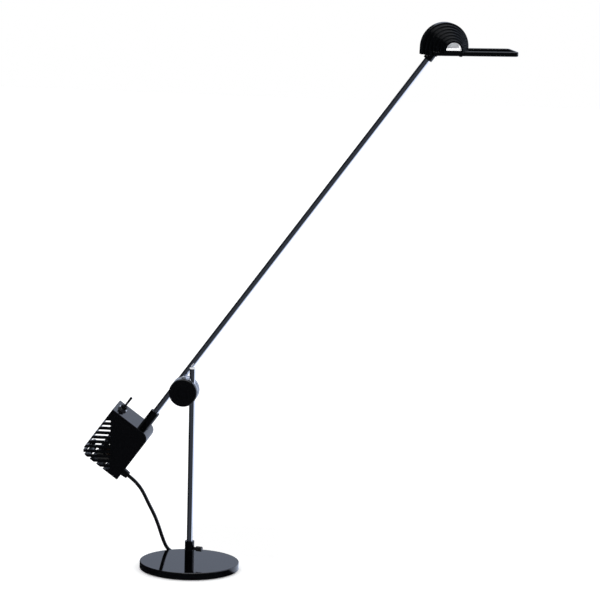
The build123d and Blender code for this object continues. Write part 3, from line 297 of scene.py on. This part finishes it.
# ---------------------------------------------------------------- lamp
# A white liner under the hood's roof, and a two-pin capsule of clear glass in a ceramic holder.
wear(material("reflector", (0.93, 0.93, 0.94), 0.35), "reflector")
wear(material("lamp_ceramic", (0.80, 0.79, 0.75), 0.6), "lamp_holder")
glass = material("bulb_glass", (0.95, 0.97, 0.98), 0.05, spread=0.0)
glass.node_tree.nodes["Principled BSDF"].inputs["Transmission Weight"].default_value = 1.0
wear(glass, "bulb")
wear(pin_brass, "bulb_pins")

# ---------------------------------------------------------------- floor
# A white floor that keeps only the contact shadow. To the camera it is a little brighter than
# white, and in mirrors it shows dark and light bands by bearing, as the space round the lamp does.
# Brightness by bearing in degrees: 0 towards the viewer, 90 to the right, 180 behind.
SURROUNDINGS = (
    (-180, 0.50), (-165, 0.44), (-158, 0.02), (-81, 0.01), (-76, 0.02), (-43, 0.02), (-38, 0.045),
    (55, 0.045), (62, 0.02), (78, 0.02), (85, 0.95), (150, 0.95), (170, 0.50), (180, 0.50),
)
band_tint = (0.89, 1.0, 1.25)
ceiling_color = (1.6, 1.65, 1.75, 1.0)
ceiling_from, ceiling_full = 0.70, 0.92
camera_lift = 0.25


def surroundings_group():
    """What a mirror sees in a direction: dark and light bands round the lamp under a bright ceiling."""
    group = bpy.data.node_groups.new("surroundings", "ShaderNodeTree")
    group.interface.new_socket(name="Direction", in_out="INPUT", socket_type="NodeSocketVector")
    group.interface.new_socket(name="Color", in_out="OUTPUT", socket_type="NodeSocketColor")
    n, link = group.nodes, group.links.new
    inside, outside = n.new("NodeGroupInput"), n.new("NodeGroupOutput")
    unit, split = n.new("ShaderNodeVectorMath"), n.new("ShaderNodeSeparateXYZ")
    unit.operation = "NORMALIZE"
    link(inside.outputs["Direction"], unit.inputs[0])
    link(unit.outputs[0], split.inputs[0])
    flip, turn, degrees = n.new("ShaderNodeMath"), n.new("ShaderNodeMath"), n.new("ShaderNodeMath")
    flip.operation, turn.operation, degrees.operation = "MULTIPLY", "ARCTAN2", "DEGREES"
    flip.inputs[1].default_value = -1.0
    link(split.outputs["Y"], flip.inputs[0])
    link(split.outputs["X"], turn.inputs[0])
    link(flip.outputs[0], turn.inputs[1])
    link(turn.outputs[0], degrees.inputs[0])
    share = n.new("ShaderNodeMapRange")
    share.inputs["From Min"].default_value = -180.0
    share.inputs["From Max"].default_value = 180.0
    link(degrees.outputs[0], share.inputs["Value"])
    bands = n.new("ShaderNodeValToRGB")
    ramp = bands.color_ramp
    ramp.elements.remove(ramp.elements[1])
    for bearing, grey in SURROUNDINGS:
        element = ramp.elements[0] if bearing == -180 else ramp.elements.new((bearing + 180) / 360)
        element.color = (*(grey * part for part in band_tint), 1.0)
    link(share.outputs[0], bands.inputs[0])
    ceiling = n.new("ShaderNodeMapRange")
    ceiling.interpolation_type = "SMOOTHSTEP"
    ceiling.inputs["From Min"].default_value = ceiling_from
    ceiling.inputs["From Max"].default_value = ceiling_full
    link(split.outputs["Z"], ceiling.inputs["Value"])
    mix = n.new("ShaderNodeMix")
    mix.data_type = "RGBA"
    mix.inputs["B"].default_value = ceiling_color
    link(ceiling.outputs[0], mix.inputs["Factor"])
    link(bands.outputs["Color"], mix.inputs["A"])
    link(mix.outputs["Result"], outside.inputs["Color"])
    return group


def sheet(name, corners, finish):
    """A flat stage sheet through four corners."""
    mesh = bpy.data.meshes.new(name)
    mesh.from_pydata(corners, [], [(0, 1, 2, 3)])
    mesh.materials.append(finish)
    obj = bpy.data.objects.new(name, mesh)
    bpy.context.scene.collection.objects.link(obj)
    return obj


surroundings = surroundings_group()
floor_white = material("floor_white", (0.985, 0.99, 1.0), 0.9, spread=0.0, depth=0.0)
n, link = floor_white.node_tree.nodes, floor_white.node_tree.links.new
floor_coords, floor_rays = n.new("ShaderNodeTexCoord"), n.new("ShaderNodeLightPath")
banded, glow = n.new("ShaderNodeGroup"), n.new("ShaderNodeEmission")
banded.node_tree = surroundings
link(floor_coords.outputs["Object"], banded.inputs["Direction"])
link(banded.outputs["Color"], glow.inputs["Color"])
lift_strength, lift = n.new("ShaderNodeMath"), n.new("ShaderNodeEmission")
lift_strength.operation = "MULTIPLY"
lift_strength.inputs[1].default_value = camera_lift
link(floor_rays.outputs["Is Camera Ray"], lift_strength.inputs[0])
link(lift_strength.outputs[0], lift.inputs["Strength"])
lifted, floor_mix = n.new("ShaderNodeAddShader"), n.new("ShaderNodeMixShader")
link(n["Principled BSDF"].outputs[0], lifted.inputs[0])
link(lift.outputs[0], lifted.inputs[1])
link(floor_rays.outputs["Is Glossy Ray"], floor_mix.inputs[0])
link(lifted.outputs[0], floor_mix.inputs[1])
link(glow.outputs[0], floor_mix.inputs[2])
link(floor_mix.outputs[0], n["Material Output"].inputs["Surface"])
half = 6.0
sheet("floor", [(-half, -half, 0), (half, -half, 0), (half, half, 0), (-half, half, 0)], floor_white)

# ---------------------------------------------------------------- card
# A white card stands on the floor behind the base and hides the put-away coil from the front.
# It is there for the camera only, and only from its front.
card = bpy.data.materials.new("card_white")
card.use_nodes = True
n, link = card.node_tree.nodes, card.node_tree.links.new
n.clear()
card_out = n.new("ShaderNodeOutputMaterial")
light_path, geometry = n.new("ShaderNodeLightPath"), n.new("ShaderNodeNewGeometry")
front, seen, card_mix = n.new("ShaderNodeMath"), n.new("ShaderNodeMath"), n.new("ShaderNodeMixShader")
clear, white = n.new("ShaderNodeBsdfTransparent"), n.new("ShaderNodeEmission")
front.operation, seen.operation = "SUBTRACT", "MULTIPLY"
front.inputs[0].default_value = 1.0
white.inputs["Strength"].default_value = 1.0
link(geometry.outputs["Backfacing"], front.inputs[1])
link(front.outputs[0], seen.inputs[0])
link(light_path.outputs["Is Camera Ray"], seen.inputs[1])
link(seen.outputs[0], card_mix.inputs[0])
link(clear.outputs[0], card_mix.inputs[1])
link(white.outputs[0], card_mix.inputs[2])
link(card_mix.outputs[0], card_out.inputs["Surface"])
card_y, card_top = 0.0975, 0.056
card_left, card_right = -0.012, 0.142
sheet("card", [(card_left, card_y, 0.0), (card_right, card_y, 0.0),
               (card_right, card_y, card_top), (card_left, card_y, card_top)], card)

# ---------------------------------------------------------------- light
# A plain white world lights the lamp and stands behind it; mirrors see the bands instead.
world = bpy.data.worlds.new("studio")
world.use_nodes = True
bpy.context.scene.world = world
n, link = world.node_tree.nodes, world.node_tree.links.new
n.clear()
world_out, background = n.new("ShaderNodeOutputWorld"), n.new("ShaderNodeBackground")
coords, banded = n.new("ShaderNodeTexCoord"), n.new("ShaderNodeGroup")
banded.node_tree = surroundings
link(coords.outputs["Generated"], banded.inputs["Direction"])
rays, mirrored = n.new("ShaderNodeLightPath"), n.new("ShaderNodeMix")
mirrored.data_type = "RGBA"
mirrored.inputs["A"].default_value = (1.0, 1.0, 1.0, 1.0)
link(rays.outputs["Is Glossy Ray"], mirrored.inputs["Factor"])
link(banded.outputs["Color"], mirrored.inputs["B"])
link(mirrored.outputs["Result"], background.inputs["Color"])
link(background.outputs[0], world_out.inputs["Surface"])

# ---------------------------------------------------------------- camera
# Fitted to the photograph: a long lens, a little above the lamp and a little to its right.
azimuth, elevation, roll = radians(6.86), radians(10.49), radians(1.29)
distance = 6.670
target = Vector((0.17886, 0.0, 0.47084))
forward = Vector((-sin(azimuth) * cos(elevation), cos(azimuth) * cos(elevation), -sin(elevation)))
right = Vector((cos(azimuth), sin(azimuth), 0.0))
upward = right.cross(forward)
cam_x = right * cos(roll) + upward * sin(roll)
cam_y = upward * cos(roll) - right * sin(roll)
camera_data = bpy.data.cameras.new("camera")
camera_data.lens = 240.0
camera_data.sensor_width = 36.0
camera_data.clip_end = 40.0
camera = bpy.data.objects.new("camera", camera_data)
bpy.context.scene.collection.objects.link(camera)
place = Matrix((cam_x, cam_y, -forward)).transposed().to_4x4()
place.translation = target - forward * distance
camera.matrix_world = place
bpy.context.scene.camera = camera
bpy.context.scene.view_settings.view_transform = "Standard"
